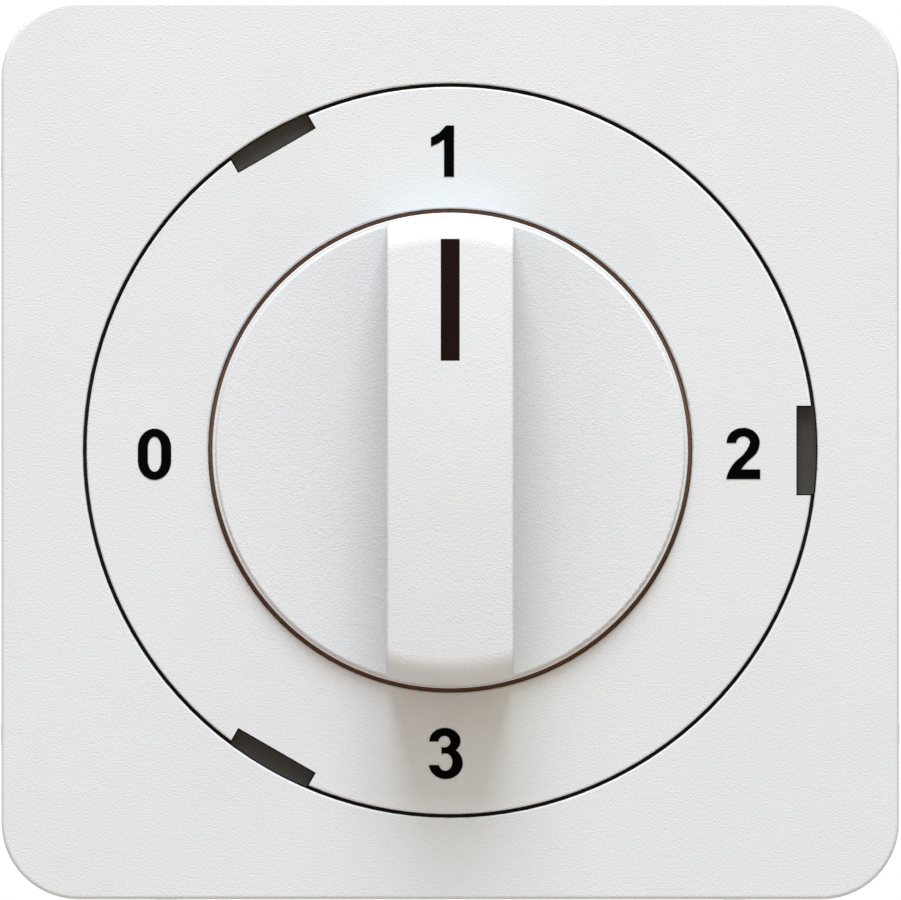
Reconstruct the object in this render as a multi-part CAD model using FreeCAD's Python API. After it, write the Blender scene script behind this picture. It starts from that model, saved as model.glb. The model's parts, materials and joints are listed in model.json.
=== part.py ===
"""Flush rotary step switch, positions 0 to 3, with its square centre plate, dial ring and finger knob.

Millimetres, +Z up, +X to the right, front towards -Y. The origin is on the shaft's axis, in the wall's
plane, which is the back face of the support ring. Places along the shaft are given as heights before the
wall: a height h is at Y = -h, and what lies inside the wall box has a negative height.
"""
import FreeCAD
import Part
import math
import os

V = FreeCAD.Vector
ORIGIN = V(0, 0, 0)
ALONG_Y = V(0, 1, 0)

# ---- centre plate ----
PLATE_SIDE = 70.0
PLATE_CORNER_R = 6.0
PLATE_FRONT = 9.0
PLATE_SKIRT_BACK = 3.0
PLATE_WALL = 1.8
PLATE_SKIRT_T = 1.6
PLATE_EDGE_R = 0.3
BUMP_PLACE = 22.2
BUMP_LENGTH = 1.7
BUMP_PROUD = 0.1
BUMP_BACK = 4.6
BUMP_DEPTH = 1.7
POST_R = 1.5
POST_INSET = 9.5

# ---- dial ring and its numerals ----
DIAL_R = 28.36
DIAL_GAP = 0.3
DIAL_EDGE_R = 0.15
NOTCH_FLOOR_R = 27.0
NOTCH_WIDTH = 7.0
NOTCH_CORNER_R = 0.3
NOTCH_COUNT = 3
PEG_R = 1.0
NUMERAL_T = 0.05
NUMERAL_HEIGHT = 4.0
NUMERAL_INSET = 0.32

# ---- carrier moulding behind plate and dial ----
CARRIER_T = 1.6
CARRIER_LAP = 2.4
CARRIER_RIM_T = 1.4
CARRIER_RIM_DEPTH = 1.6
CARRIER_HOLE_R = 6.4
CARRIER_TAB_T = 0.8
CARRIER_FOOT_R = 1.8
CARRIER_FOOT_PLACE = 17.9
SEAL_T = 0.8
SEAL_LAP = 1.2
SEAL_LIP_DEPTH = 0.5

# ---- knob ----
KNOB_R = 18.54
KNOB_GAP = 0.34
KNOB_LEDGE = 0.24
KNOB_LEDGE_PROUD = 0.75
KNOB_FACE_PROUD = 1.0
KNOB_EDGE_R = 0.2
KNOB_LIFT = 0.4
KNOB_RIM_T = 1.5
RIDGE_WIDTH = 9.85
RIDGE_PROUD = 9.5
RIDGE_CROWN_R = 200.0
RIDGE_END_R = 2.4
RIDGE_EDGE_R = 0.22
RIDGE_WALL = 1.6
RIDGE_TOP_T = 2.3
RIDGE_END_WALL = 3.1
BOSS_R = 4.9
INLAY_WIDTH = 1.47
INLAY_INSET = 1.9
INLAY_LENGTH = 9.45
INLAY_T = 0.8
CLIP_T = 0.35
CLIP_WIDTH = 3.6

# ---- spindle and its bearing ----
SPINDLE_R = 4.0
SPINDLE_FRONT_R = 3.0
SPINDLE_FLAT = 2.0
SPINDLE_SQUARE = 5.6
SPINDLE_TAIL_R = 2.0
SPINDLE_TAIL_LENGTH = 3.4
SPINDLE_IN_KNOB = 10.2
SHOULDER_T = 1.9
BUSH_WALL = 1.5
BUSH_FLANGE_T = 0.8
BUSH_FLANGE_LAP = 1.6
BUSH_PROUD = 0.6
WASHER_T = 0.6
CIRCLIP_T = 0.5
COVER_T = 2.0
COVER_LEDGE = 1.6
PILLAR_R = 2.6

# ---- detent, contact carrier and wiper ----
CAM_HALF = 7.0
CAM_CORNER_R = 3.0
CAM_T = 5.0
LEAF_T = 0.4
LEAF_WIDTH = 4.0
LEAF_GAP = 0.05
HUB_T = 1.5
DRUM_GAP = 2.5
DRUM_T = 5.5
LUG_GAP = 0.7
LUG_HALF_DEG = 14.0
STOP_CENTRE_DEG = 225.0
TURN_DEG = 270.0
STOP_GAP_DEG = 0.5
WIPER_T = 0.6
WIPER_WIDTH = 4.4
WIPER_SPACE = 0.9
WIPER_R = 10.0
RIVET_CROWN = 0.9
CONTACT_GAP = 0.1
COMMON_R = 5.25
COMMON_WIDTH = 2.6
PAD_R = 2.2
CONTACT_T = 0.8
CONTACT_WIDTH = 3.2

# ---- housing, contact plate and terminals ----
BASE_HALF = 21.5
CAVITY_R = 15.0
CONTACT_PLATE_T = 5.0
FLANGE_T = 2.0
FLANGE_REACH_X = 2.4
FLANGE_REACH_Z = 4.0
HOUSING_SCREW_LENGTH = 9.0
CLAMP_SIDE = 7.0
CLAMP_WALL = 1.3
CLAMP_INSET_X = 1.5
TERMINAL_SCREW_R = 1.5
TERMINAL_HEAD_T = 1.8
WIRE_BORE_R = 1.6

# ---- support ring and fastenings ----
RING_T = 1.0
RING_INSET = 1.0
BOX_PITCH = 60.0
BOX_HOLE_R = 1.8
BOX_SLOT_LENGTH = 6.0
RING_RIVET_X = 11.0
RING_RIVET_R = 1.0
SCREW_R = 1.5
SCREW_HEAD_R = 2.6
SCREW_HEAD_T = 1.1
SLOT_WIDTH = 0.7

# ---- spreading claws ----
CLAW_RECESS = 3.3
CLAW_HALF = 7.2
CLAW_T = 1.2
CLAW_LENGTH = 15.2
CLAW_TOOTH_REACH = 3.0
CLAW_LEVER = 4.3
CLAW_TAB_R = 7.5
CLAW_SWING_DEG = 25.0
PIVOT_DEPTH = 2.4
KNUCKLE_R = 1.5
PIN_R = 0.88
LUG_T = 1.0
NUT_SIDE = 5.5
NUT_T = 2.4

# ---- clearances ----
RUN = 0.05
LOOSE = 0.1
SLACK = 0.3
TINY = 0.02

# ---- heights before the wall, worked out from the sizes above ----
CARRIER_FRONT = PLATE_FRONT - PLATE_WALL
CARRIER_BACK = CARRIER_FRONT - CARRIER_T
OPENING_R = DIAL_R + DIAL_GAP
BORE_R = KNOB_R + KNOB_GAP
LEDGE = PLATE_FRONT + KNOB_LEDGE_PROUD
KNOB_FACE = PLATE_FRONT + KNOB_FACE_PROUD
KNOB_BACK = CARRIER_FRONT + KNOB_LIFT
KNOB_INSIDE = CARRIER_FRONT + SCREW_HEAD_T + SLACK
RIDGE_R = KNOB_R - KNOB_LEDGE
RIDGE_TOP = PLATE_FRONT + RIDGE_PROUD
NUMERAL_PLACE_R = (DIAL_R + BORE_R) / 2 - NUMERAL_INSET
CARRIER_SCREW_X = KNOB_R - KNOB_RIM_T - SCREW_HEAD_R - 1.0
HOUSING_SCREW_PLACE = CAVITY_R + COVER_LEDGE + 2.1
INLAY_OUTER = RIDGE_R - INLAY_INSET
DRUM_R = CAVITY_R - DRUM_GAP
LUG_R = CAVITY_R - LUG_GAP
FLANGE_FRONT = RING_T + FLANGE_T
COVER_BACK = FLANGE_FRONT - COVER_T
BUSH_BACK = COVER_BACK - BUSH_FLANGE_T
SHOULDER_FRONT = BUSH_BACK - WASHER_T - 2 * RUN
CAM_FRONT = SHOULDER_FRONT - SHOULDER_T
CAM_BACK = CAM_FRONT - CAM_T
DRUM_FRONT = CAM_BACK - HUB_T
DRUM_BACK = DRUM_FRONT - DRUM_T
WIPER_FRONT = DRUM_BACK - WIPER_SPACE
WIPER_BACK = WIPER_FRONT - WIPER_T
FLOOR = WIPER_BACK - RIVET_CROWN - CONTACT_GAP
BASE_BACK = FLOOR - CONTACT_PLATE_T
CIRCLIP_BACK = FLANGE_FRONT + BUSH_PROUD + 2 * LOOSE
BOSS_BACK = CIRCLIP_BACK + CIRCLIP_T + 2 * SLACK
SPINDLE_FRONT = BOSS_BACK + SPINDLE_IN_KNOB
RECESS_X = BASE_HALF - CLAW_RECESS
PIVOT_X = RECESS_X + SLACK + KNUCKLE_R
RECESS_HALF = CLAW_HALF + LUG_T + 2 * SLACK + 0.5
CLAW_SCREW_X = PIVOT_X + CLAW_LEVER
TERMINAL_X = BASE_HALF - CLAMP_INSET_X - CLAMP_SIDE / 2
TERMINAL_Z = BASE_HALF - TERMINAL_HEAD_T - 2 * SLACK - CLAMP_SIDE / 2
LEG_Z = TERMINAL_Z - CLAMP_SIDE / 2 + CLAMP_WALL + CONTACT_T / 2
WIRE_Z = LEG_Z + CONTACT_T / 2 + WIRE_BORE_R + LOOSE
POST_PLACE = PLATE_SIDE / 2 - POST_INSET


# ---- plain shapes, with heights before the wall ----
def disc(r, low, high, x=0.0, z=0.0):
    return Part.makeCylinder(r, high - low, V(x, -high, z), ALONG_Y)


def tube(r_out, r_in, low, high, x=0.0, z=0.0):
    return disc(r_out, low, high, x, z).cut(disc(r_in, low - 1, high + 1, x, z))


def block(x0, x1, low, high, z0, z1):
    return Part.makeBox(x1 - x0, high - low, z1 - z0, V(x0, -high, z0))


def bar(r, z0, z1, x, h):
    """A round bar along Z."""
    return Part.makeCylinder(r, z1 - z0, V(x, -h, z0))


def sheet(wire, low, high):
    """The flat outline, given in X and Z, as a plate between two heights."""
    face = Part.Face(wire)
    face.translate(V(0, -high, 0))
    return face.extrude(V(0, high - low, 0))


def polygon(points, low, high):
    corners = [V(x, 0, z) for x, z in points]
    return sheet(Part.makePolygon(corners + corners[:1]), low, high)


def strip(points, width, low, high):
    """A flat bar of even width with round ends and corners along a line of points in X and Z."""
    shape = None
    for (x0, z0), (x1, z1) in zip(points, points[1:]):
        length = math.hypot(x1 - x0, z1 - z0)
        run = block(0, length, low, high, -width / 2, width / 2)
        run.rotate(ORIGIN, ALONG_Y, -math.degrees(math.atan2(z1 - z0, x1 - x0)))
        run.translate(V(x0, 0, z0))
        run = run.fuse([disc(width / 2, low, high, x0, z0), disc(width / 2, low, high, x1, z1)])
        shape = run if shape is None else shape.fuse(run)
    return shape.removeSplitter()


def rounded_square(half_x, half_z, r, low, high):
    """A plate with its centre on the shaft's axis and round corners."""
    solid = block(-half_x, half_x, low, high, -half_z, half_z)
    return solid.makeFillet(r, [e for e in solid.Edges if runs_along_y(e)])


def runs_along_y(edge):
    line = isinstance(edge.Curve, Part.Line)
    return line and abs(abs(edge.tangentAt(edge.FirstParameter).y) - 1) < 1e-6


def revolved(points):
    """The outline, given as radius and height with arcs as (through, end) pairs, turned about the shaft."""
    edges = []
    here = point(points[0])
    for step in points[1:] + points[:1]:
        if isinstance(step[0], tuple):
            end = point(step[1])
            edges.append(Part.Arc(here, point(step[0]), end).toShape())
        else:
            end = point(step)
            edges.append(Part.makeLine(here, end))
        here = end
    return Part.Face(Part.Wire(edges)).revolve(ORIGIN, ALONG_Y, 360)


def point(radius_and_height):
    return V(radius_and_height[0], -radius_and_height[1], 0)


def turned(shape, degrees):
    """A copy turned about the shaft, anticlockwise as seen from the front."""
    copy = shape.copy()
    copy.rotate(ORIGIN, ALONG_Y, -degrees)
    return copy


def mirrored(shape):
    """The left-hand twin of a right-hand piece."""
    return shape.mirror(ORIGIN, V(1, 0, 0))


def four_corners(x, z):
    return [(sx * x, sz * z) for sx in (1, -1) for sz in (1, -1)]


def sector(r_out, r_in, low, high, centre_deg, half_deg):
    """Part of a tube, about an angle anticlockwise from +X."""
    edges = []
    first, last = math.radians(-half_deg), math.radians(half_deg)
    a, b = spot(r_out, first), spot(r_out, last)
    c, d = spot(r_in, last), spot(r_in, first)
    edges.append(Part.Arc(a, spot(r_out, 0), b).toShape())
    edges.append(Part.makeLine(b, c))
    edges.append(Part.Arc(c, spot(r_in, 0), d).toShape())
    edges.append(Part.makeLine(d, a))
    return turned(sheet(Part.Wire(edges), low, high), centre_deg)


def spot(r, angle):
    return V(r * math.cos(angle), 0, r * math.sin(angle))


def slotted_screw(r, length, head_r, head_t):
    """A screw along the shaft's direction: its head stands from height 0 forwards and its shank goes back."""
    screw = disc(r, -length, 0).fuse(disc(head_r, 0, head_t))
    rim = [e for e in screw.Edges if is_rim(e, head_r, head_t)]
    screw = screw.makeFillet(head_t / 4, rim)
    groove = block(-head_r, head_r, head_t * 0.45, head_t + 1, -SLOT_WIDTH / 2, SLOT_WIDTH / 2)
    return screw.cut(groove).removeSplitter()


def is_rim(edge, r, height):
    """A full or part circle of this radius at this height."""
    if not isinstance(edge.Curve, Part.Circle):
        return False
    return abs(edge.Curve.Radius - r) < 1e-6 and abs(edge.Curve.Center.y + height) < 1e-6


def placed(shape, x, h, z):
    copy = shape.copy()
    copy.translate(V(x, -h, z))
    return copy


# ---- centre plate, dial ring, numerals ----
def centre_plate():
    half = PLATE_SIDE / 2
    plate = rounded_square(half, half, PLATE_CORNER_R, PLATE_SKIRT_BACK, PLATE_FRONT)
    front = [e for e in plate.Edges if all(abs(v.Point.y + PLATE_FRONT) < 1e-6 for v in e.Vertexes)]
    plate = plate.makeFillet(PLATE_EDGE_R, front)
    inner = half - PLATE_SKIRT_T
    plate = plate.cut(rounded_square(inner, inner, PLATE_CORNER_R - PLATE_SKIRT_T,
                                     PLATE_SKIRT_BACK - 1, CARRIER_FRONT))
    plate = plate.cut(disc(OPENING_R, 0, PLATE_FRONT + 1))
    plate = plate.makeFillet(DIAL_EDGE_R, [e for e in plate.Edges if is_rim(e, OPENING_R, PLATE_FRONT)])
    for x, z in four_corners(POST_PLACE, POST_PLACE):
        stake = disc(POST_R * 1.45, CARRIER_BACK - 0.8, CARRIER_BACK, x, z)
        plate = plate.fuse([disc(POST_R, CARRIER_BACK, CARRIER_FRONT, x, z), stake])
    for quarter in range(4):
        for place in (-BUMP_PLACE, BUMP_PLACE):
            plate = plate.fuse(turned(snap_bump(place), 90 * quarter))
    return plate.removeSplitter()


def snap_bump(place):
    """A low ridge on the right side of the skirt, which clips the surrounding frame."""
    half = PLATE_SIDE / 2
    outline = [(half - 0.5, 0), (half, 0), (half + BUMP_PROUD, BUMP_PROUD * 3),
               (half + BUMP_PROUD, BUMP_DEPTH - BUMP_PROUD * 3), (half, BUMP_DEPTH), (half - 0.5, BUMP_DEPTH)]
    corners = [V(x, -BUMP_BACK - h, place - BUMP_LENGTH / 2) for x, h in outline]
    return Part.Face(Part.makePolygon(corners + corners[:1])).extrude(V(0, 0, BUMP_LENGTH))


def notch_cutter():
    """The gap at the right of the dial's rim, with the rim's corners rounded off."""
    half = NOTCH_WIDTH / 2
    flare_r = DIAL_R - NOTCH_CORNER_R
    far = DIAL_R + 1
    bend = NOTCH_CORNER_R * (1 - math.sqrt(0.5))
    corners = []
    for side in (1, -1):
        start = V(flare_r, 0, side * half)
        through = V(DIAL_R - bend, 0, side * (half + bend))
        end = V(DIAL_R, 0, side * (half + NOTCH_CORNER_R))
        corners.append((start, through, end, V(far, 0, end.z)))
    (a0, a1, a2, a3), (b0, b1, b2, b3) = corners
    floor_a, floor_b = V(NOTCH_FLOOR_R, 0, half), V(NOTCH_FLOOR_R, 0, -half)
    edges = [Part.makeLine(floor_a, a0), Part.Arc(a0, a1, a2).toShape(), Part.makeLine(a2, a3),
             Part.makeLine(a3, b3), Part.makeLine(b3, b2), Part.Arc(b2, b1, b0).toShape(),
             Part.makeLine(b0, floor_b), Part.makeLine(floor_b, floor_a)]
    return sheet(Part.Wire(edges), CARRIER_FRONT - 1, PLATE_FRONT + 1)


def peg_places():
    """The dial's pegs stand half-way between its notches."""
    r = (DIAL_R + BORE_R) / 2
    for i in range(NOTCH_COUNT):
        angle = math.radians(360 / NOTCH_COUNT * (i + 0.5))
        yield r * math.cos(angle), r * math.sin(angle)


def dial_ring():
    ring = tube(DIAL_R, BORE_R, CARRIER_FRONT, PLATE_FRONT)
    rims = [e for e in ring.Edges if is_rim(e, DIAL_R, PLATE_FRONT) or is_rim(e, BORE_R, PLATE_FRONT)]
    ring = ring.makeFillet(DIAL_EDGE_R, rims)
    for i in range(NOTCH_COUNT):
        ring = ring.cut(turned(notch_cutter(), 360 / NOTCH_COUNT * i))
    pegs = [disc(PEG_R, CARRIER_BACK, CARRIER_FRONT, x, z) for x, z in peg_places()]
    return ring.fuse(pegs).removeSplitter()


def oval(half_width, half_height, x=0.0, z=0.0):
    """An upright oval of printed ink, or of what is left out of it, for a numeral 4 mm high."""
    major, minor = max(half_width, half_height), min(half_width, half_height)
    curve = Part.Ellipse(ORIGIN, major, minor).toShape()
    curve.rotate(ORIGIN, V(0, 0, 1), 90 if half_height > half_width else 0)
    curve.rotate(ORIGIN, V(1, 0, 0), 90)
    return placed(sheet(Part.Wire([curve]), PLATE_FRONT, PLATE_FRONT + NUMERAL_T), x, 0, z)


def oblong(x0, x1, z0, z1):
    return block(x0, x1, PLATE_FRONT, PLATE_FRONT + NUMERAL_T, z0, z1)


def stretched_oval(half_width, half_height, straight):
    """An oval with straight sides."""
    top = half_height - straight
    ends = [oval(half_width, top, 0, straight), oval(half_width, top, 0, -straight)]
    return oblong(-half_width, half_width, -straight, straight).fuse(ends)


def numeral_zero():
    return stretched_oval(1.3, 2.0, 0.5).cut(stretched_oval(0.52, 1.36, 0.5)).removeSplitter()


def numeral_one():
    points = [(0.12, -2), (0.9, -2), (0.9, 2), (0.28, 2), (-0.26, 1.42), (-0.9, 1.06), (-0.9, 0.36),
              (-0.3, 0.62), (0.12, 0.94)]
    return polygon(points, PLATE_FRONT, PLATE_FRONT + NUMERAL_T)


def flat_arc(start, through, end):
    corners = [V(x, 0, z) for x, z in (start, through, end)]
    return Part.Arc(*corners).toShape()


def flat_line(start, end):
    return Part.makeLine(V(start[0], 0, start[1]), V(end[0], 0, end[1]))


def numeral_two():
    """An open loop at the top, whose right side sweeps down into the flat foot."""
    loop = oval(1.29, 1.12, 0, 0.88).cut([oval(0.53, 0.48, 0, 0.86), oblong(-2, 2, -2, 0.82)])
    inside, bend, outside, waist = (0.53, 0.82), (-0.4, -0.43), (1.29, 0.82), (0.66, -0.33)
    left, right, top, base = (-1.33, -2.0), (1.33, -2.0), (1.33, -1.24), (-0.17, -1.24)
    edges = [flat_arc(inside, (0.24, 0.22), bend), flat_arc(bend, (-1.0, -1.14), left),
             flat_line(left, right), flat_line(right, top), flat_line(top, base),
             flat_arc(base, (0.2, -0.78), waist), flat_arc(waist, (1.13, 0.2), outside),
             flat_line(outside, inside)]
    return loop.fuse(sheet(Part.Wire(edges), PLATE_FRONT, PLATE_FRONT + NUMERAL_T)).removeSplitter()


def numeral_three():
    """Two loops that share their middle stroke and are open to the left."""
    body = oval(1.21, 1.02, -0.03, 0.98).fuse(oval(1.33, 1.25, 0.03, -0.75))
    openings = [oval(0.46, 0.45, -0.07, 0.92), oval(0.55, 0.68, 0, -0.67), oblong(-2, -0.29, -0.9, 0.93)]
    return body.cut(openings).removeSplitter()


def numerals():
    """The position numbers printed on the dial: 0 at the left, then clockwise."""
    r = NUMERAL_PLACE_R
    marks = [(numeral_zero(), -r + 0.24, -0.29), (numeral_one(), -0.6, r + 0.05),
             (numeral_two(), r - 0.45, -0.23), (numeral_three(), -0.38, -r - 0.33)]
    size = NUMERAL_HEIGHT / 4
    return Part.makeCompound([placed(widened(shape, size), x, 0, z) for shape, x, z in marks])


def widened(shape, size):
    """A printed mark at another size, with its ink as thick as before."""
    grow = FreeCAD.Matrix()
    grow.scale(size, 1, size)
    return shape if size == 1 else shape.transformGeometry(grow)


# ---- carrier moulding, seal and screws ----
def carrier_ring():
    outer = OPENING_R + CARRIER_LAP
    ring = tube(outer, CARRIER_HOLE_R, CARRIER_BACK, CARRIER_FRONT)
    ring = ring.fuse(tube(outer, outer - CARRIER_RIM_T, CARRIER_BACK - CARRIER_RIM_DEPTH, CARRIER_BACK))
    for x, z in four_corners(POST_PLACE, POST_PLACE):
        near = outer / math.sqrt(2) - 2
        ear = strip([(math.copysign(near, x), math.copysign(near, z)), (x, z)], POST_R * 4.4,
                    CARRIER_BACK, CARRIER_FRONT)
        ring = ring.fuse(ear)
    for x, z in four_corners(CARRIER_FOOT_PLACE, CARRIER_FOOT_PLACE):
        ring = ring.fuse(disc(CARRIER_FOOT_R, FLANGE_FRONT, CARRIER_BACK, x, z))
    tab_in, tab_out = NOTCH_FLOOR_R + LOOSE, OPENING_R - LOOSE
    tab = block(tab_in, tab_out, CARRIER_FRONT, CARRIER_FRONT + CARRIER_TAB_T,
                -NOTCH_WIDTH / 2 + LOOSE, NOTCH_WIDTH / 2 - LOOSE)
    tab = tab.common(disc(tab_out, CARRIER_FRONT, PLATE_FRONT))
    ring = ring.fuse([turned(tab, 360 / NOTCH_COUNT * i) for i in range(NOTCH_COUNT)])
    ring = ring.cut(tube(BORE_R + SEAL_LAP + LOOSE, KNOB_R - SEAL_LAP - LOOSE,
                         CARRIER_FRONT - SEAL_T, CARRIER_FRONT + 1))
    holes = [disc(POST_R + RUN, 0, PLATE_FRONT, x, z) for x, z in four_corners(POST_PLACE, POST_PLACE)]
    holes += [disc(PEG_R + RUN, 0, PLATE_FRONT, x, z) for x, z in peg_places()]
    holes += [disc(SCREW_R + LOOSE, 0, PLATE_FRONT, x, 0) for x in (-CARRIER_SCREW_X, CARRIER_SCREW_X)]
    return ring.cut(holes).removeSplitter()


def knob_seal():
    """A flat ring in the carrier with a thin lip that stands in the gap round the knob."""
    ring = tube(BORE_R + SEAL_LAP, KNOB_R - SEAL_LAP, CARRIER_FRONT - SEAL_T, CARRIER_FRONT)
    lip = tube(BORE_R - RUN, KNOB_R + RUN, CARRIER_FRONT, PLATE_FRONT - SEAL_LIP_DEPTH)
    return ring.fuse(lip).removeSplitter()


def carrier_screws():
    length = CARRIER_FRONT - FLANGE_FRONT + COVER_T / 2
    screw = slotted_screw(SCREW_R, length, SCREW_HEAD_R, SCREW_HEAD_T)
    places = (-CARRIER_SCREW_X, CARRIER_SCREW_X)
    return Part.makeCompound([placed(screw, x, CARRIER_FRONT, 0) for x in places])


# ---- knob ----
def ridge_form():
    """A round post with the ridge's domed crown and its rounded rim, before its flanks are cut."""
    crown_centre = RIDGE_TOP - RIDGE_CROWN_R
    dome = Part.makeSphere(RIDGE_CROWN_R, V(0, -crown_centre, 0), V(0, 0, 1))
    post = disc(RIDGE_R, KNOB_INSIDE, RIDGE_TOP + 1).common(dome)
    rim_height = crown_centre + math.sqrt(RIDGE_CROWN_R ** 2 - RIDGE_R ** 2)
    return post.makeFillet(RIDGE_END_R, [e for e in post.Edges if is_rim(e, RIDGE_R, rim_height)])


def inlay_block():
    half = INLAY_WIDTH / 2
    low = RIDGE_TOP - INLAY_T - RIDGE_R ** 2 / (2 * RIDGE_CROWN_R)
    return block(-half, half, low, RIDGE_TOP + 1, INLAY_OUTER - INLAY_LENGTH, INLAY_OUTER)


def pointer_inlay():
    return ridge_form().common(inlay_block())


def knob():
    bend = KNOB_EDGE_R * (1 - math.sqrt(0.5))
    edge = RIDGE_R - KNOB_EDGE_R
    ledge_edge = 0.08
    base = revolved([(0, KNOB_INSIDE), (KNOB_R - KNOB_RIM_T, KNOB_INSIDE), (KNOB_R - KNOB_RIM_T, KNOB_BACK),
                     (KNOB_R, KNOB_BACK), (KNOB_R, LEDGE - ledge_edge), (KNOB_R - ledge_edge, LEDGE),
                     (RIDGE_R, LEDGE), (RIDGE_R, KNOB_FACE - KNOB_EDGE_R),
                     ((RIDGE_R - bend, KNOB_FACE - bend), (edge, KNOB_FACE)), (0, KNOB_FACE)])
    half = RIDGE_WIDTH / 2
    ridge = ridge_form().common(block(-half, half, KNOB_INSIDE, RIDGE_TOP + 1, -KNOB_R, KNOB_R))
    flank_edges = [e for e in ridge.Edges if on_ridge_flank(e, half)]
    ridge = ridge.makeFillet(RIDGE_EDGE_R, flank_edges)
    body = base.fuse([ridge, disc(BOSS_R, BOSS_BACK, KNOB_FACE)])
    pocket_half = half - RIDGE_WALL
    pocket_end = RIDGE_R - RIDGE_END_WALL
    for side in (1, -1):
        z0, z1 = sorted((side * (BOSS_R + 1.2), side * pocket_end))
        body = body.cut(block(-pocket_half, pocket_half, KNOB_INSIDE - 1, RIDGE_TOP - RIDGE_TOP_T, z0, z1))
    socket = disc(SPINDLE_FRONT_R + RUN, BOSS_BACK - 1, SPINDLE_FRONT + SLACK)
    far = SPINDLE_FRONT_R + 1
    wall = SPINDLE_FLAT + CLIP_T + RUN
    socket = socket.cut(block(wall, far, BOSS_BACK - 1, SPINDLE_FRONT + 1, -far, far))
    body = body.cut([socket, inlay_block()])
    return body.removeSplitter()


def on_ridge_flank(edge, half):
    """The upper edges of one flank, without its upright ends and its foot."""
    ends = [v.Point for v in edge.Vertexes]
    middle = edge.valueAt((edge.FirstParameter + edge.LastParameter) / 2)
    in_flank = all(abs(abs(p.x) - half) < 1e-4 for p in ends + [middle])
    upright = abs(ends[0].z - ends[-1].z) < 1e-4
    return in_flank and not upright and -middle.y > KNOB_INSIDE + 1


def knob_clip():
    """The flat spring that holds the knob on the spindle's flat."""
    low, high = BOSS_BACK + 1, SPINDLE_FRONT - 1
    x0 = SPINDLE_FLAT + TINY
    return block(x0, x0 + CLIP_T, low, high, -CLIP_WIDTH / 2, CLIP_WIDTH / 2)


# ---- spindle and bearing ----
def spindle():
    half = SPINDLE_SQUARE / 2
    groove_r = SPINDLE_FRONT_R + 0.4
    tail_top = FLOOR + CONTACT_GAP
    front = disc(SPINDLE_FRONT_R, CIRCLIP_BACK, SPINDLE_FRONT)
    front = front.cut(block(SPINDLE_FLAT, SPINDLE_R, BOSS_BACK, SPINDLE_FRONT + 1, -SPINDLE_R, SPINDLE_R))
    pieces = [disc(SPINDLE_R, SHOULDER_FRONT, BOSS_BACK - SLACK),
              disc(SPINDLE_R + 1.2, CAM_FRONT, SHOULDER_FRONT),
              block(-half, half, tail_top, CAM_FRONT, -half, half),
              disc(SPINDLE_TAIL_R, FLOOR - SPINDLE_TAIL_LENGTH, tail_top)]
    whole = front.fuse(pieces)
    return whole.cut(tube(SPINDLE_R + 1, groove_r, CIRCLIP_BACK, CIRCLIP_BACK + CIRCLIP_T)).removeSplitter()


def square_hole(low, high):
    half = SPINDLE_SQUARE / 2 + TINY
    return block(-half, half, low - 1, high + 1, -half, half)


def circlip():
    low, high = CIRCLIP_BACK + TINY, CIRCLIP_BACK + CIRCLIP_T - TINY
    ring = tube(SPINDLE_R + 1.4, SPINDLE_FRONT_R + 0.42, low, high)
    return ring.cut(block(-1.6, 1.6, low - 1, high + 1, 0, SPINDLE_R + 2))


def bush_r():
    return SPINDLE_R + RUN + BUSH_WALL


def bearing_bush():
    r = bush_r()
    bush = disc(r, COVER_BACK, FLANGE_FRONT + BUSH_PROUD)
    bush = bush.fuse(disc(r + BUSH_FLANGE_LAP, BUSH_BACK, COVER_BACK))
    return bush.cut(disc(SPINDLE_R + RUN, BUSH_BACK - 1, FLANGE_FRONT + 2)).removeSplitter()


def bearing_washer():
    return tube(bush_r() + 0.8, SPINDLE_R + 2 * RUN, SHOULDER_FRONT + RUN, BUSH_BACK - RUN)


def cover_blank(grow, low, high):
    """The cover's round plate, with an ear for each of its two screws and a foot for each pillar."""
    plate = disc(CAVITY_R + COVER_LEDGE + grow, low, high)
    lobes = [disc(SCREW_HEAD_R + 0.4 + grow, low, high, 0, z) for z in housing_screw_places()]
    lobes.append(strip([(-CARRIER_SCREW_X, 0), (CARRIER_SCREW_X, 0)], 2 * (PILLAR_R + grow), low, high))
    return plate.fuse(lobes).removeSplitter()


def housing_screw_places():
    return -HOUSING_SCREW_PLACE, HOUSING_SCREW_PLACE


def bearing_cover():
    cover = cover_blank(0, COVER_BACK, FLANGE_FRONT)
    for x in (-CARRIER_SCREW_X, CARRIER_SCREW_X):
        cover = cover.fuse(disc(PILLAR_R, FLANGE_FRONT, CARRIER_BACK, x, 0))
        cover = cover.cut(disc(SCREW_R + TINY, COVER_BACK + COVER_T / 4, CARRIER_BACK + 1, x, 0))
    cover = cover.cut([disc(SCREW_R + LOOSE, 0, FLANGE_FRONT + 1, 0, z) for z in housing_screw_places()])
    return cover.cut(disc(bush_r() + TINY, 0, FLANGE_FRONT + 1)).removeSplitter()


def housing_screws():
    """Two screws hold the cover from the front and two more the contact plate from the back."""
    screw = slotted_screw(SCREW_R, HOUSING_SCREW_LENGTH, SCREW_HEAD_R, SCREW_HEAD_T)
    back = screw.copy()
    back.rotate(ORIGIN, V(0, 0, 1), 180)
    screws = []
    for z in housing_screw_places():
        screws += [placed(screw, 0, FLANGE_FRONT, z), placed(back, 0, BASE_BACK + SCREW_HEAD_T + LOOSE, z)]
    return Part.makeCompound(screws)


# ---- detent, contact carrier and wiper ----
def detent_cam():
    cam = rounded_square(CAM_HALF, CAM_HALF, CAM_CORNER_R, CAM_BACK, CAM_FRONT)
    return cam.cut(square_hole(CAM_BACK, CAM_FRONT))


def leaf_half():
    """Half the leaf's length, which is a chord of the cavity."""
    outer = CAM_HALF + LEAF_GAP + LEAF_T
    return math.sqrt(CAVITY_R ** 2 - outer ** 2) - 0.4


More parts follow.
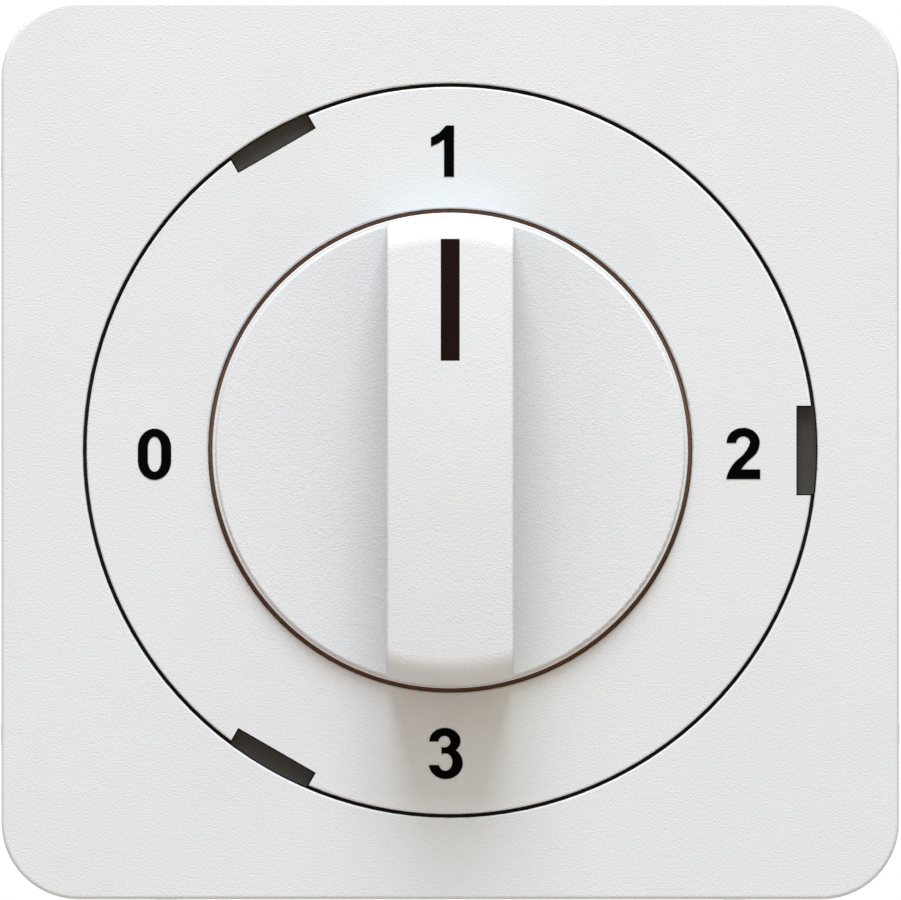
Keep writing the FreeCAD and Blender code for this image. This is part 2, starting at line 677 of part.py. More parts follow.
def detent_spring():
    x0 = CAM_HALF + LEAF_GAP
    middle = (CAM_FRONT + CAM_BACK) / 2
    half = leaf_half()
    return block(x0, x0 + LEAF_T, middle - LEAF_WIDTH / 2, middle + LEAF_WIDTH / 2, -half, half)


def leaf_holders():
    """Blocks on the cavity's wall, with a slot for each end of each leaf."""
    x0 = CAM_HALF + LEAF_GAP
    end = leaf_half()
    low, high = CAM_BACK, CAM_FRONT
    holders = []
    for side in (1, -1):
        z0, z1 = sorted((side * (end - 1.4), side * (end + 1.2)))
        holder = block(x0 - 1.4, x0 + LEAF_T + 1.4, low, high, z0, z1)
        s0, s1 = sorted((side * (end - 2), side * (end + LOOSE)))
        holder = holder.cut(block(x0 - RUN, x0 + LEAF_T + RUN, low - 1, high + 1, s0, s1))
        holders += [holder, mirrored(holder)]
    return holders


def contact_carrier():
    drum = disc(DRUM_R, DRUM_BACK, DRUM_FRONT)
    hub = disc(SPINDLE_R + 1.6, DRUM_FRONT, CAM_BACK)
    lug = sector(LUG_R, DRUM_R - 2, DRUM_BACK, DRUM_FRONT, 90, LUG_HALF_DEG)
    guide_in, guide_out = WIPER_WIDTH / 2 + LOOSE, WIPER_WIDTH / 2 + 1.1
    low = WIPER_BACK + LOOSE
    guides = [block(x0, x1, low, DRUM_BACK, SPINDLE_R + 1.8, WIPER_R + 0.8)
              for x0, x1 in ((guide_in, guide_out), (-guide_out, -guide_in))]
    drum = drum.fuse([hub, lug] + guides)
    return drum.cut(square_hole(WIPER_BACK, CAM_BACK)).removeSplitter()


def wiper_contact():
    eye_r = SPINDLE_SQUARE / 2 * math.sqrt(2) + LOOSE
    low, high = WIPER_BACK, WIPER_FRONT
    arm = strip([(0, -COMMON_R), (0, WIPER_R)], WIPER_WIDTH, low, high)
    arm = arm.fuse(disc(eye_r + 1.0, low, high))
    holes = [disc(eye_r, low - 1, high + 1)]
    holes += [disc(RIVET_CROWN, low - 1, high + 1, 0, z) for z in (WIPER_R, -COMMON_R)]
    return arm.cut(holes).removeSplitter()


def wiper_rivets():
    """One rivet runs over the fixed pads and one stays on the common ring."""
    rivets = []
    for z, r in ((WIPER_R, 1.4), (-COMMON_R, 1.15)):
        low = WIPER_BACK - RIVET_CROWN
        crown = disc(r, low, WIPER_BACK, 0, z)
        crown = crown.makeFillet(RIVET_CROWN / 3, [e for e in crown.Edges if is_rim(e, r, low)])
        shank = disc(RIVET_CROWN - TINY, WIPER_BACK, WIPER_FRONT, 0, z)
        upset = disc(RIVET_CROWN + 0.2, WIPER_FRONT, WIPER_FRONT + 0.3, 0, z)
        rivets.append(crown.fuse([shank, upset]).removeSplitter())
    return Part.makeCompound(rivets)


def wiper_spring():
    """A bowed leaf between the contact carrier and the wiper."""
    thickness = 0.3
    width = WIPER_WIDTH - 0.8
    z0, z1 = SPINDLE_R + 0.6, WIPER_R - RIVET_CROWN - 0.6
    middle = (z0 + z1) / 2
    feet, back = DRUM_BACK, WIPER_FRONT
    faces = []
    for lift in (0.0, thickness):
        ends = [V(0, -(feet - lift), z) for z in (z0, z1)]
        crest = V(0, -(back + thickness - lift), middle)
        faces.append((ends[0], crest, ends[1]))
    (a, b, c), (d, e, f) = faces
    edges = [Part.Arc(a, b, c).toShape(), Part.makeLine(c, f), Part.Arc(f, e, d).toShape(),
             Part.makeLine(d, a)]
    leaf = Part.Face(Part.Wire(edges))
    leaf.translate(V(-width / 2, 0, 0))
    return leaf.extrude(V(width, 0, 0))


# ---- fixed contacts and terminals ----
def contact_blank(route, start_r, terminal, grow=0.0):
    """A pad or ring at the route's start, a flat bar along it, and a leg turned up into the terminal."""
    x, z = terminal
    low, high = FLOOR - CONTACT_T - grow / 2, FLOOR
    side = math.copysign(1, z)
    leg_z = side * LEG_Z
    bar_shape = strip(route + [(x, leg_z)], CONTACT_WIDTH + 2 * grow, low, high)
    pad = disc(start_r + grow, low, high, *route[0])
    half, t = CONTACT_WIDTH / 2 + grow, CONTACT_T / 2 + grow
    leg = block(x - half, x + half, low, FLOOR + CLAMP_SIDE + 1.0, leg_z - t, leg_z + t)
    beyond = sorted((leg_z + side * t, leg_z + side * CONTACT_WIDTH))
    wire_half = CONTACT_WIDTH - grow
    wire_way = block(x - wire_half, x + wire_half, low - 1, high + 1, *beyond)
    return bar_shape.fuse(pad).cut(wire_way).fuse(leg).removeSplitter()


def fixed_contacts(grow=0.0):
    """The three position contacts by name."""
    x, z = TERMINAL_X, TERMINAL_Z
    return {"contact_1": contact_blank([(0, WIPER_R)], PAD_R, (-x, z), grow),
            "contact_2": contact_blank([(WIPER_R, 0)], PAD_R, (x, z), grow),
            "contact_3": contact_blank([(0, -WIPER_R)], PAD_R, (x, -z), grow)}


def common_contact(grow=0.0):
    blank = contact_blank([(0, 0)], COMMON_R + COMMON_WIDTH / 2, (-TERMINAL_X, -TERMINAL_Z), grow)
    return blank.cut(disc(COMMON_R - COMMON_WIDTH / 2 - grow, BASE_BACK, FLOOR + 1)).removeSplitter()


def clamp_low():
    return FLOOR + 1.4


def terminal_clamps():
    """A brass cage in each corner: the wire and the contact's leg share its window."""
    half = CLAMP_SIDE / 2
    low = clamp_low()
    window = half - CLAMP_WALL
    cages = []
    for x, z in four_corners(TERMINAL_X, TERMINAL_Z):
        cage = block(x - half, x + half, low, low + CLAMP_SIDE, z - half, z + half)
        cage = cage.makeChamfer(0.3, [e for e in cage.Edges if runs_along_y(e)])
        cage = cage.cut(block(x - window, x + window, low - 1, low + CLAMP_SIDE + 1, z - window, z + window))
        z0, z1 = sorted((z, math.copysign(BASE_HALF, z)))
        cages.append(cage.cut(bar(TERMINAL_SCREW_R + TINY, z0, z1, x, low + half)))
    return Part.makeCompound(cages)


def terminal_screws():
    outer = TERMINAL_Z + CLAMP_SIDE / 2
    tip = outer - CLAMP_WALL
    seat = outer + SLACK
    screw = slotted_screw(TERMINAL_SCREW_R, seat - tip, TERMINAL_SCREW_R + 0.6, TERMINAL_HEAD_T)
    screws = []
    for x, z in four_corners(TERMINAL_X, TERMINAL_Z):
        copy = screw.copy()
        copy.rotate(ORIGIN, V(1, 0, 0), 90 if z < 0 else -90)
        copy.translate(V(x, -(clamp_low() + CLAMP_SIDE / 2), math.copysign(seat, z)))
        screws.append(copy)
    return Part.makeCompound(screws)


# ---- housing ----
def base_section(reach_x, reach_z, low, high):
    """The housing's square outline grown by a reach, with the recess for the claws in both sides."""
    wide, tall = BASE_HALF + reach_x, BASE_HALF + reach_z
    solid = rounded_square(wide, tall, 1.5, low, high)
    inner, half = RECESS_X + reach_x, RECESS_HALF - reach_x
    for x0, x1 in ((inner, wide + 1), (-wide - 1, -inner)):
        solid = solid.cut(block(x0, x1, low - 1, high + 1, -half, half))
    return solid.removeSplitter()


def rivet_places():
    return four_corners(RING_RIVET_X, BASE_HALF + FLANGE_REACH_Z / 2 + 0.15)


def switch_housing():
    body = base_section(0, 0, FLOOR, RING_T)
    body = body.fuse(base_section(FLANGE_REACH_X, FLANGE_REACH_Z, RING_T, FLANGE_FRONT))
    body = body.cut(disc(CAVITY_R, FLOOR - 1, FLANGE_FRONT + 1))
    body = body.cut(cover_blank(LOOSE, COVER_BACK, FLANGE_FRONT + 1))
    stop_half = (360 - TURN_DEG) / 2 - LUG_HALF_DEG - STOP_GAP_DEG
    stop = sector(CAVITY_R + 0.2, DRUM_R + SLACK, DRUM_BACK, DRUM_FRONT, STOP_CENTRE_DEG, stop_half)
    body = body.fuse([stop] + leaf_holders())
    half = CLAMP_SIDE / 2 + LOOSE
    cuts = [disc(RING_RIVET_R + TINY, 0, FLANGE_FRONT + 1, x, z) for x, z in rivet_places()]
    for x, z in four_corners(TERMINAL_X, TERMINAL_Z):
        high = clamp_low() + CLAMP_SIDE + LOOSE
        cuts.append(block(x - half, x + half, FLOOR - 1, high, z - half, z + half))
        z0, z1 = sorted((z, math.copysign(BASE_HALF + 1, z)))
        cuts.append(bar(TERMINAL_SCREW_R + 0.6 + 0.15, z0, z1, x, clamp_low() + CLAMP_SIDE / 2))
    for z in housing_screw_places():
        depth = HOUSING_SCREW_LENGTH + LOOSE
        cuts.append(disc(SCREW_R + TINY, FLANGE_FRONT - depth, FLANGE_FRONT, 0, z))
        cuts.append(disc(SCREW_R + TINY, FLOOR - 1, BASE_BACK + SCREW_HEAD_T + depth, 0, z))
    return body.cut(cuts).removeSplitter()


def contact_plate():
    plate = base_section(0, 0, BASE_BACK, FLOOR)
    rear = [e for e in plate.Edges if all(abs(v.Point.y + BASE_BACK) < 1e-6 for v in e.Vertexes)]
    plate = plate.makeChamfer(0.5, rear)
    channels = list(fixed_contacts(RUN).values()) + [common_contact(RUN)]
    cuts = [disc(SPINDLE_TAIL_R + RUN, FLOOR - SPINDLE_TAIL_LENGTH - SLACK, FLOOR + 1)]
    for x, z in four_corners(TERMINAL_X, WIRE_Z):
        cuts.append(disc(WIRE_BORE_R, BASE_BACK - 1, FLOOR + 1, x, z))
    for z in housing_screw_places():
        cuts.append(disc(SCREW_R + LOOSE, BASE_BACK - 1, FLOOR + 1, 0, z))
        cuts.append(disc(SCREW_HEAD_R + LOOSE, BASE_BACK - 1, BASE_BACK + SCREW_HEAD_T + LOOSE, 0, z))
    return plate.cut(channels + cuts).removeSplitter()


# ---- support ring and its fastenings ----
def support_ring():
    half = PLATE_SIDE / 2 - RING_INSET
    ring = rounded_square(half, half, PLATE_CORNER_R, 0, RING_T)
    ring = ring.cut(base_section(SLACK, SLACK, -1, RING_T + 1))
    cuts = [disc(BOX_HOLE_R, -1, RING_T + 1, 0, z) for z in (-BOX_PITCH / 2, BOX_PITCH / 2)]
    slot_half = BOX_SLOT_LENGTH / 2 - BOX_HOLE_R
    for x in (-BOX_PITCH / 2, BOX_PITCH / 2):
        cuts.append(strip([(x - slot_half, 0), (x + slot_half, 0)], 2 * BOX_HOLE_R, -1, RING_T + 1))
    cuts += [disc(SCREW_R + 0.25, -1, RING_T + 1, x, 0) for x in (-CLAW_SCREW_X, CLAW_SCREW_X)]
    cuts += [disc(RING_RIVET_R + TINY, -1, RING_T + 1, x, z) for x, z in rivet_places()]
    ring = ring.cut(cuts)
    for lug in pivot_lugs():
        ring = ring.fuse([lug, mirrored(lug)])
    return ring.removeSplitter()


def pivot_lugs():
    """Two ears bent back from the ring, one at each end of the right claw's pin."""
    near = RECESS_X + SLACK
    far = PIVOT_X + KNUCKLE_R
    lugs = []
    for side in (1, -1):
        z0, z1 = sorted((side * (CLAW_HALF + SLACK), side * (CLAW_HALF + SLACK + LUG_T)))
        lug = block(near, far, -PIVOT_DEPTH, 0, z0, z1)
        end_r = (far - near) / 2
        lug = lug.fuse(bar(end_r, z0, z1, (near + far) / 2, -PIVOT_DEPTH))
        lugs.append(lug.cut(bar(PIN_R + TINY, z0 - 1, z1 + 1, PIVOT_X, -PIVOT_DEPTH)))
    return lugs


def ring_rivets():
    rivets = []
    head_r, head_t = RING_RIVET_R + 0.65, 0.6
    for x, z in rivet_places():
        rivet = disc(RING_RIVET_R, -head_t, FLANGE_FRONT + head_t)
        rivet = rivet.fuse([disc(head_r, FLANGE_FRONT, FLANGE_FRONT + head_t), disc(head_r, -head_t, 0)])
        ends = [e for e in rivet.Edges
                if is_rim(e, head_r, FLANGE_FRONT + head_t) or is_rim(e, head_r, -head_t)]
        rivets.append(placed(rivet.makeFillet(head_t / 2, ends), x, 0, z))
    return Part.makeCompound(rivets)


# ---- spreading claws ----
def claw():
    """The right-hand claw: knuckle, arm, curved tab that the nut pulls on, and a toothed foot."""
    inner, outer = PIVOT_X - CLAW_T / 2, PIVOT_X + CLAW_T / 2
    end = -PIVOT_DEPTH - CLAW_LENGTH
    arm = block(inner, outer, end, -PIVOT_DEPTH, -CLAW_HALF, CLAW_HALF)
    knuckle = bar(KNUCKLE_R, -CLAW_HALF, CLAW_HALF, PIVOT_X, -PIVOT_DEPTH)
    body = arm.fuse([knuckle, toothed_foot(outer, end), claw_tab()])
    window_half = NUT_SIDE / 2 + SLACK + 0.25
    window = block(inner - 1, outer + 1, end + CLAW_T + 1.3, -PIVOT_DEPTH - CLAW_TAB_R * 2 / 3,
                   -window_half, window_half)
    window = window.cut(bar(CLAW_TAB_R, -CLAW_HALF, CLAW_HALF, CLAW_SCREW_X, -PIVOT_DEPTH))
    slot = strip([(inner - 2, 0), (CLAW_SCREW_X, 0)], 2 * SCREW_R + 0.5, -PIVOT_DEPTH - CLAW_TAB_R - 1,
                 -PIVOT_DEPTH - CLAW_TAB_R / 2)
    pin_hole = bar(PIN_R + 0.07, -CLAW_HALF - 1, CLAW_HALF + 1, PIVOT_X, -PIVOT_DEPTH)
    return body.cut([window, slot, pin_hole]).removeSplitter()


def claw_tab():
    """Curved about the point that keeps the nut's push square to its face as the claw swings."""
    half = NUT_SIDE / 2 + SLACK
    outer = bar(CLAW_TAB_R, -half, half, CLAW_SCREW_X, -PIVOT_DEPTH)
    inner = bar(CLAW_TAB_R - CLAW_T, -half - 1, half + 1, CLAW_SCREW_X, -PIVOT_DEPTH)
    reach = block(PIVOT_X, CLAW_SCREW_X + SCREW_R + 2.0, -PIVOT_DEPTH - CLAW_TAB_R - 1,
                  -PIVOT_DEPTH - CLAW_TAB_R / 2, -half, half)
    return outer.cut(inner).common(reach)


def toothed_foot(x, end):
    """The claw's end is bent outwards and its edge has teeth that bite the box's wall."""
    teeth = 4
    pitch = 2 * CLAW_HALF / teeth
    reach = x + CLAW_TOOTH_REACH
    points = [(x - CLAW_T, -CLAW_HALF)]
    for i in range(teeth):
        z = -CLAW_HALF + i * pitch
        points += [(reach - 1.2, z), (reach, z + pitch / 2)]
    points += [(reach - 1.2, CLAW_HALF), (x - CLAW_T, CLAW_HALF)]
    return polygon(points, end, end + CLAW_T)


def nut_front():
    return -PIVOT_DEPTH - CLAW_TAB_R - LOOSE


def claw_nut():
    half = NUT_SIDE / 2
    front = nut_front()
    nut = block(CLAW_SCREW_X - half, CLAW_SCREW_X + half, front - NUT_T, front, -half, half)
    return nut.cut(disc(SCREW_R + 0.08, front - NUT_T - 1, front + 1, CLAW_SCREW_X, 0))


def claw_screws():
    length = RING_T - nut_front() + NUT_T + 0.5
    screw = slotted_screw(SCREW_R, length, SCREW_HEAD_R, SCREW_HEAD_T * 1.6)
    return Part.makeCompound([placed(screw, x, RING_T, 0) for x in (-CLAW_SCREW_X, CLAW_SCREW_X)])


def claw_pins():
    half = CLAW_HALF + SLACK + LUG_T
    pins = [bar(PIN_R, -half, half, x, -PIVOT_DEPTH) for x in (-PIVOT_X, PIVOT_X)]
    return Part.makeCompound(pins)


def every_node():
    nodes = {
        "centre_plate": centre_plate(),
        "dial_ring": dial_ring(),
        "numerals": numerals(),
        "carrier_ring": carrier_ring(),
        "carrier_screws": carrier_screws(),
        "knob": knob(),
        "pointer_inlay": pointer_inlay(),
        "knob_seal": knob_seal(),
        "knob_clip": knob_clip(),
        "spindle": spindle(),
        "circlip": circlip(),
        "bearing_bush": bearing_bush(),
        "bearing_washer": bearing_washer(),
        "bearing_cover": bearing_cover(),
        "housing_screws": housing_screws(),
        "detent_cam": detent_cam(),
        "detent_spring_right": detent_spring(),
        "detent_spring_left": mirrored(detent_spring()),
        "contact_carrier": contact_carrier(),
        "wiper_contact": wiper_contact(),
        "wiper_rivets": wiper_rivets(),
        "wiper_spring": wiper_spring(),
        "common_contact": common_contact(),
        "terminal_clamps": terminal_clamps(),
        "terminal_screws": terminal_screws(),
        "switch_housing": switch_housing(),
        "contact_plate": contact_plate(),
        "support_ring": support_ring(),
        "ring_rivets": ring_rivets(),
        "claw_right": claw(),
        "claw_left": mirrored(claw()),
        "claw_nut_right": claw_nut(),
        "claw_nut_left": mirrored(claw_nut()),
        "claw_screws": claw_screws(),
        "claw_pins": claw_pins(),
    }
    nodes.update(fixed_contacts())
    return nodes


os.makedirs("parts", exist_ok=True)
for name, shape in every_node().items():
    shape.exportStep(f"parts/{name}.step")
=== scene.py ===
"""Looks of the flush rotary step switch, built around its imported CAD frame. Everything is in metres."""
import bpy
import json
import math
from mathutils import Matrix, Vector


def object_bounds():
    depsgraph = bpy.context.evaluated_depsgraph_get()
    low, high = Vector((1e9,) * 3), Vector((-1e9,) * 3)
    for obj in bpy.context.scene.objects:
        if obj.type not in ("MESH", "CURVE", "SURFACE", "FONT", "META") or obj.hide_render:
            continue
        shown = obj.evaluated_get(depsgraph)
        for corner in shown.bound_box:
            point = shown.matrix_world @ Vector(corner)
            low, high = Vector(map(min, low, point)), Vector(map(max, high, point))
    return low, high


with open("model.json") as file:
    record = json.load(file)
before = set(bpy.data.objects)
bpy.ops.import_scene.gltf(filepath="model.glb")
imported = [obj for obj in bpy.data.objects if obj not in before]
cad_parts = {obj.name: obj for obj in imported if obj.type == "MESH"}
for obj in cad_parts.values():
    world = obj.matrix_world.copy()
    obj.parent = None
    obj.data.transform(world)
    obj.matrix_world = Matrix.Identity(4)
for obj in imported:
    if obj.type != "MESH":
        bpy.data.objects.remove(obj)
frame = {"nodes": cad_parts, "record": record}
cad_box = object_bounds()
NODES = frame["nodes"]

# ---- light: colours, and the spans of a direction's X, Y or Z over which one fades into the next ----
SKY_LEFT = (1.21, 1.25, 1.40)
SKY_RIGHT = (1.23, 1.34, 1.22)
SKY_ACROSS_X = (-0.8, 0.8)
SKY_BELOW = (0.85, 0.545, 0.31)
SKY_HORIZON_Z = (-0.35, 0.25)
SKY_CORE = 0.6
SKY_CORE_Y = (-1.0, -0.6)
ROOM_SIDE = (0.20, 0.20, 0.20)
ROOM_SIDE_Y = (-0.65, -0.10)
BACKDROP = (1.0, 1.0, 1.0)
BACKDROP_ROUND = (0.80, 0.80, 0.79)
BACKDROP_Y = (0.1, 0.6)
KEY_ANGLE = 62.0
KEY_FAR = 0.80
KEY_WIDE = 0.40
KEY_TALL = 0.43
KEY_POWER = 8.0
KEY_COLOUR = (0.875, 0.972, 1.085)

# ---- floor ----
FLOOR_R = 0.225
FLOOR_DROP = 0.15
FLOOR_STEPS = 128

# ---- camera: the face it looks at is this far behind the object's front ----
CAMERA_FAR = 1.34
CAMERA_HALF_VIEW = 0.035135
CAMERA_FACE_DEPTH = 0.0095
CAMERA_X = 0.000023
CAMERA_Z = 0.00004
SENSOR_WIDTH = 36.0

# ---- surfaces ----
NOISE_MIDDLE = (0.3, 0.7)
MOULD_CLOUD = 0.012
MOULD_GLOSS_CHANGE = 0.06
COARSE_GRAIN_RATIO = 6
COARSE_DEPTH_SHARE = 0.2
METAL_CLOUD = 0.006
METAL_GLOSS_CHANGE = 0.09
STREAK_DEPTH = 0.000003
FLECK_SIZE = 0.00045
FLECK_SPAN = (0.64, 0.72)
PRESSED_CLOUD = 0.009
PRESSED_GRAIN = 0.00035
PRESSED_DEPTH = 0.00001
PRESSED_GLOSS_CHANGE = 0.08
FINE_METAL = 0.0002
WHITE = ((0.612, 0.612, 0.608), (0.628, 0.628, 0.624))


# ---- shader helpers ----
def new_material(name):
    material = bpy.data.materials.new(name)
    material.use_nodes = True
    tree = material.node_tree
    return material, tree, tree.nodes["Principled BSDF"]


def place_coordinates(tree, scale=(1, 1, 1)):
    """The object's own coordinates, stretched along its axes. CAD nodes sit at the frame's origin."""
    coordinates = tree.nodes.new("ShaderNodeTexCoord")
    mapping = tree.nodes.new("ShaderNodeMapping")
    mapping.inputs["Scale"].default_value = scale
    tree.links.new(coordinates.outputs["Object"], mapping.inputs["Vector"])
    return mapping.outputs["Vector"]


def noise(tree, vector, grain, detail=3.0, roughness=0.55):
    """Noise whose features are about grain metres across."""
    node = tree.nodes.new("ShaderNodeTexNoise")
    node.inputs["Scale"].default_value = 1 / grain
    node.inputs["Detail"].default_value = detail
    node.inputs["Roughness"].default_value = roughness
    tree.links.new(vector, node.inputs["Vector"])
    return node.outputs["Fac"]


def ramp(tree, factor, low, high):
    """The noise's middle stretched to run from one colour to another."""
    node = tree.nodes.new("ShaderNodeValToRGB")
    first, last = node.color_ramp.elements
    first.position, last.position = NOISE_MIDDLE
    first.color, last.color = (*low, 1), (*high, 1)
    tree.links.new(factor, node.inputs["Fac"])
    return node.outputs["Color"]


def spread(tree, factor, middle, change):
    """The noise's middle stretched to run from middle - change to middle + change."""
    node = tree.nodes.new("ShaderNodeMapRange")
    node.inputs["From Min"].default_value, node.inputs["From Max"].default_value = NOISE_MIDDLE
    node.inputs["To Min"].default_value = middle - change
    node.inputs["To Max"].default_value = middle + change
    tree.links.new(factor, node.inputs["Value"])
    return node.outputs["Result"]


def bump(tree, height, distance, onto=None):
    """A surface normal bent by a height, on top of another bump if one is given."""
    node = tree.nodes.new("ShaderNodeBump")
    node.inputs["Distance"].default_value = distance
    tree.links.new(height, node.inputs["Height"])
    if onto is not None:
        tree.links.new(onto, node.inputs["Normal"])
    return node.outputs["Normal"]


def blend(tree, factor, low, high):
    """Between two colours, each a fixed colour or a socket."""
    node = tree.nodes.new("ShaderNodeMix")
    node.data_type = "RGBA"
    tree.links.new(factor, node.inputs["Factor"])
    for socket, value in ((node.inputs["A"], low), (node.inputs["B"], high)):
        if isinstance(value, tuple):
            socket.default_value = (*value, 1)
        else:
            tree.links.new(value, socket)
    return node.outputs["Result"]


def moulded_plastic(name, low, high, roughness, grain=0.00015, depth=0.00004, specular=0.5):
    """Injection-moulded plastic: eroded grain of the tool, faint clouds in its colour and its gloss."""
    material, tree, shader = new_material(name)
    vector = place_coordinates(tree)
    clouds = noise(tree, vector, MOULD_CLOUD, 4.0)
    tree.links.new(ramp(tree, clouds, low, high), shader.inputs["Base Color"])
    fine = noise(tree, vector, grain, 1.0, 0.5)
    tree.links.new(spread(tree, fine, roughness, MOULD_GLOSS_CHANGE), shader.inputs["Roughness"])
    coarse = noise(tree, vector, grain * COARSE_GRAIN_RATIO, 2.0)
    first = bump(tree, fine, depth)
    tree.links.new(bump(tree, coarse, depth * COARSE_DEPTH_SHARE, first), shader.inputs["Normal"])
    shader.inputs["Specular IOR Level"].default_value = specular
    return material


def sheet_metal(name, low, high, roughness, stretch=(1, 1, 12), grain=0.0004):
    """Rolled or drawn metal: streaks across one axis and a patchy plating."""
    material, tree, shader = new_material(name)
    shader.inputs["Metallic"].default_value = 1.0
    clouds = noise(tree, place_coordinates(tree), METAL_CLOUD, 5.0, 0.6)
    tree.links.new(ramp(tree, clouds, low, high), shader.inputs["Base Color"])
    streaks = noise(tree, place_coordinates(tree, stretch), grain, 3.0)
    tree.links.new(spread(tree, streaks, roughness, METAL_GLOSS_CHANGE), shader.inputs["Roughness"])
    tree.links.new(bump(tree, streaks, STREAK_DEPTH), shader.inputs["Normal"])
    return material


def speckled_thermoset(name, low, high, fleck, roughness):
    """Pressed thermoset: short fibres show as flecks in a matt, slightly uneven skin."""
    material, tree, shader = new_material(name)
    vector = place_coordinates(tree)
    base = ramp(tree, noise(tree, vector, PRESSED_CLOUD, 5.0, 0.6), low, high)
    flecks = noise(tree, place_coordinates(tree, (1, 2.2, 1)), FLECK_SIZE, 2.0, 0.5)
    mask = tree.nodes.new("ShaderNodeMapRange")
    mask.inputs["From Min"].default_value, mask.inputs["From Max"].default_value = FLECK_SPAN
    tree.links.new(flecks, mask.inputs["Value"])
    tree.links.new(blend(tree, mask.outputs["Result"], base, fleck), shader.inputs["Base Color"])
    fine = noise(tree, vector, PRESSED_GRAIN, 4.0, 0.6)
    tree.links.new(spread(tree, fine, roughness, PRESSED_GLOSS_CHANGE), shader.inputs["Roughness"])
    tree.links.new(bump(tree, fine, PRESSED_DEPTH), shader.inputs["Normal"])
    return material


# ---- materials by the record's slot: name, darkest and lightest colour, then gloss and grain ----
def make_plastics():
    return {
        "plate_white_plastic": moulded_plastic("plate_white", *WHITE, 0.42),
        "dial_white_plastic": moulded_plastic("dial_white", *WHITE, 0.40),
        "knob_white_plastic": moulded_plastic("knob_white", *WHITE, 0.38),
        "pointer_dark_plastic": moulded_plastic("pointer_dark", (0.010, 0.0040, 0.0034),
                                                (0.0135, 0.0056, 0.0048), 0.6, specular=0.02),
        "print_black": moulded_plastic("ink_black", (0.0004, 0.0004, 0.0004), (0.0012, 0.0012, 0.0012), 0.8,
                                       grain=0.0001, depth=0.00001, specular=0.02),
        "carrier_grey_plastic": moulded_plastic("carrier_grey", (0.037, 0.032, 0.026),
                                                (0.048, 0.042, 0.0345), 0.6, specular=0.3),
        "seal_brown": moulded_plastic("seal_brown", (0.17, 0.080, 0.044), (0.21, 0.100, 0.056), 0.75,
                                      specular=0.2),
        "cam_plastic": moulded_plastic("cam_black", (0.02, 0.02, 0.02), (0.035, 0.035, 0.035), 0.4),
        "cover_thermoset": speckled_thermoset("cover_black", (0.02, 0.02, 0.02), (0.03, 0.03, 0.03),
                                              (0.08, 0.08, 0.08), 0.5),
        "housing_thermoset": speckled_thermoset("housing_grey", (0.50, 0.49, 0.45), (0.56, 0.55, 0.50),
                                                (0.30, 0.28, 0.24), 0.55),
        "contact_plate_thermoset": speckled_thermoset("contact_plate_grey", (0.46, 0.45, 0.41),
                                                      (0.51, 0.50, 0.45), (0.26, 0.24, 0.2), 0.55),
    }


def make_metals():
    return {
        "zinc_steel": sheet_metal("zinc_sheet", (0.56, 0.56, 0.53), (0.68, 0.68, 0.66), 0.38),
        "screw_steel": sheet_metal("screw_zinc", (0.55, 0.53, 0.46), (0.68, 0.66, 0.58), 0.32,
                                   grain=FINE_METAL),
        "rivet_steel": sheet_metal("rivet_steel", (0.50, 0.50, 0.50), (0.62, 0.62, 0.62), 0.30,
                                   grain=FINE_METAL),
        "nut_steel": sheet_metal("nut_steel", (0.50, 0.50, 0.48), (0.62, 0.62, 0.60), 0.36, grain=FINE_METAL),
        "spring_steel": sheet_metal("spring_steel", (0.35, 0.36, 0.38), (0.46, 0.47, 0.50), 0.25,
                                    grain=FINE_METAL),
        "spindle_steel": sheet_metal("spindle_steel", (0.48, 0.48, 0.50), (0.58, 0.58, 0.60), 0.28,
                                     stretch=(1, 14, 1), grain=FINE_METAL),
        "bearing_brass": sheet_metal("bearing_brass", (0.60, 0.42, 0.17), (0.74, 0.55, 0.25), 0.28),
        "contact_brass": sheet_metal("contact_brass", (0.58, 0.40, 0.16), (0.76, 0.56, 0.26), 0.32),
        "clamp_brass": sheet_metal("clamp_brass", (0.60, 0.46, 0.24), (0.72, 0.58, 0.34), 0.34),
        "contact_silver": sheet_metal("contact_silver", (0.70, 0.70, 0.68), (0.85, 0.85, 0.83), 0.22),
    }


def dress_cad_nodes(materials):
    """Each node's slots take the material that the record names for it."""
    slot_of = {entry["node"]: entry["material_slot"] for entry in frame["record"]["subparts"]}
    for name, node in NODES.items():
        for held in node.material_slots:
            held.material = materials[slot_of[name]]


# ---- stage, lights, camera ----
def plain_floor():
    """A round floor well below the object."""
    mesh = bpy.data.meshes.new("floor")
    z = cad_box[0].z - FLOOR_DROP
    turns = [2 * math.pi * step / FLOOR_STEPS for step in range(FLOOR_STEPS)]
    rim = [(FLOOR_R * math.cos(turn), FLOOR_R * math.sin(turn), z) for turn in turns]
    mesh.from_pydata(rim, [], [range(FLOOR_STEPS)])
    floor = bpy.data.objects.new("floor", mesh)
    bpy.context.scene.collection.objects.link(floor)
    material, tree, shader = new_material("floor_pale")
    vector = place_coordinates(tree)
    tree.links.new(ramp(tree, noise(tree, vector, 0.05), (0.60, 0.58, 0.55), (0.64, 0.62, 0.59)),
                   shader.inputs["Base Color"])
    shader.inputs["Roughness"].default_value = 0.8
    mesh.materials.append(material)


def area_light(name, place, aim, size_x, size_y, power, colour):
    data = bpy.data.lights.new(name, "AREA")
    data.shape = "RECTANGLE"
    data.size, data.size_y = size_x, size_y
    data.energy = power
    data.color = colour
    lamp = bpy.data.objects.new(name, data)
    lamp.location = place
    lamp.rotation_mode = "QUATERNION"
    lamp.rotation_quaternion = (Vector(aim) - Vector(place)).to_track_quat("-Z", "Y")
    bpy.context.scene.collection.objects.link(lamp)


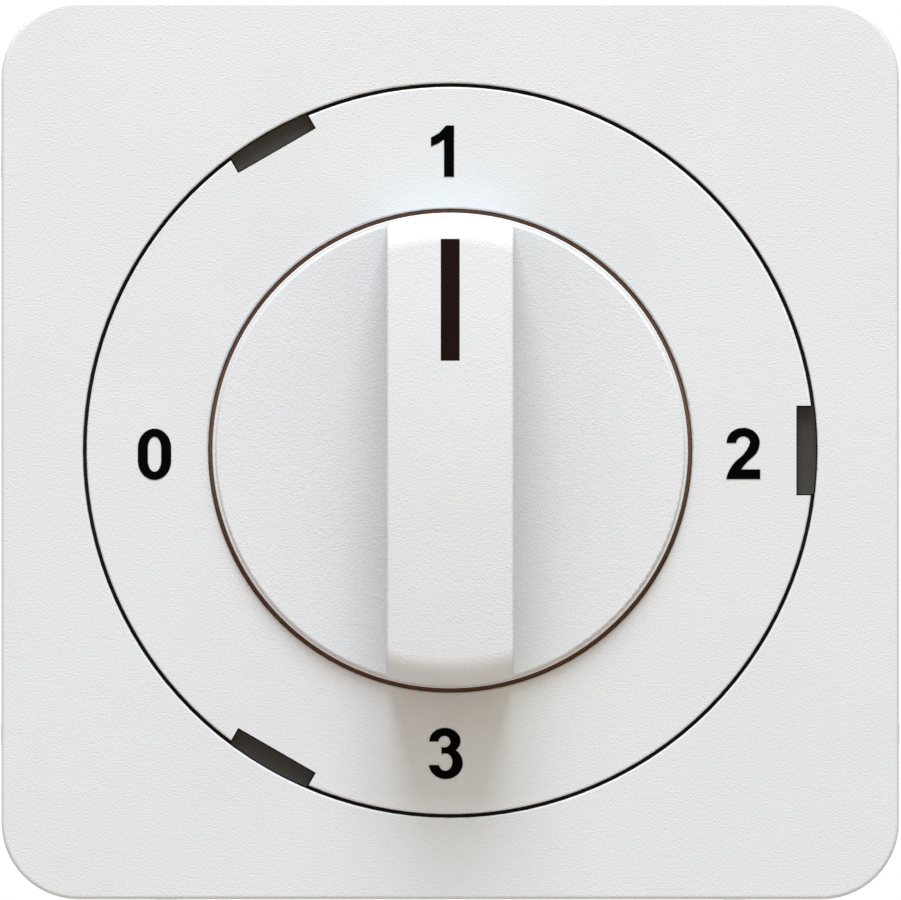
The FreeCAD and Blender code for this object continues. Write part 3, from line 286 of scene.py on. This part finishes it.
def rising(tree, value, span, low=0.0):
    """From low to 1 as the value crosses the span."""
    node = tree.nodes.new("ShaderNodeMapRange")
    node.interpolation_type = "SMOOTHSTEP"
    node.inputs["From Min"].default_value, node.inputs["From Max"].default_value = span
    node.inputs["To Min"].default_value = low
    tree.links.new(value, node.inputs["Value"])
    return node.outputs["Result"]


def studio():
    """A soft ring of light round the front, cool above and warm below, and a plain pale backdrop."""
    world = bpy.data.worlds.new("studio")
    world.use_nodes = True
    tree = world.node_tree
    direction = tree.nodes.new("ShaderNodeTexCoord")
    parts = tree.nodes.new("ShaderNodeSeparateXYZ")
    tree.links.new(direction.outputs["Generated"], parts.inputs["Vector"])
    x, y, z = parts.outputs
    above = blend(tree, rising(tree, x, SKY_ACROSS_X), SKY_LEFT, SKY_RIGHT)
    front = blend(tree, rising(tree, z, SKY_HORIZON_Z), SKY_BELOW, above)
    ring = blend(tree, rising(tree, y, SKY_CORE_Y, SKY_CORE), (0, 0, 0), front)
    room = blend(tree, rising(tree, y, ROOM_SIDE_Y), ring, ROOM_SIDE)
    behind = rising(tree, y, BACKDROP_Y)
    lit = blend(tree, behind, room, BACKDROP)
    shown = blend(tree, behind, BACKDROP_ROUND, BACKDROP)
    path = tree.nodes.new("ShaderNodeLightPath")
    whole = blend(tree, path.outputs["Is Camera Ray"], lit, shown)
    tree.links.new(whole, tree.nodes["Background"].inputs["Color"])
    bpy.context.scene.world = world
    angle = math.radians(KEY_ANGLE)
    place = (0, -KEY_FAR * math.cos(angle), KEY_FAR * math.sin(angle))
    area_light("key_above", place, (0, 0, 0), KEY_WIDE, KEY_TALL, KEY_POWER, KEY_COLOUR)
    bpy.context.scene.view_settings.view_transform = "Standard"


def camera():
    """Straight on, from far enough that the view is almost without perspective."""
    face = cad_box[0].y + CAMERA_FACE_DEPTH
    data = bpy.data.cameras.new("camera")
    data.sensor_width = SENSOR_WIDTH
    data.lens = SENSOR_WIDTH / 2 / (CAMERA_HALF_VIEW / CAMERA_FAR)
    data.clip_start, data.clip_end = 0.05, 20.0
    lens = bpy.data.objects.new("camera", data)
    lens.location = (CAMERA_X, face - CAMERA_FAR, CAMERA_Z)
    lens.rotation_euler = (math.pi / 2, 0, 0)
    bpy.context.scene.collection.objects.link(lens)
    bpy.context.scene.camera = lens


camera()
studio()
plain_floor()
dress_cad_nodes({**make_plastics(), **make_metals()})
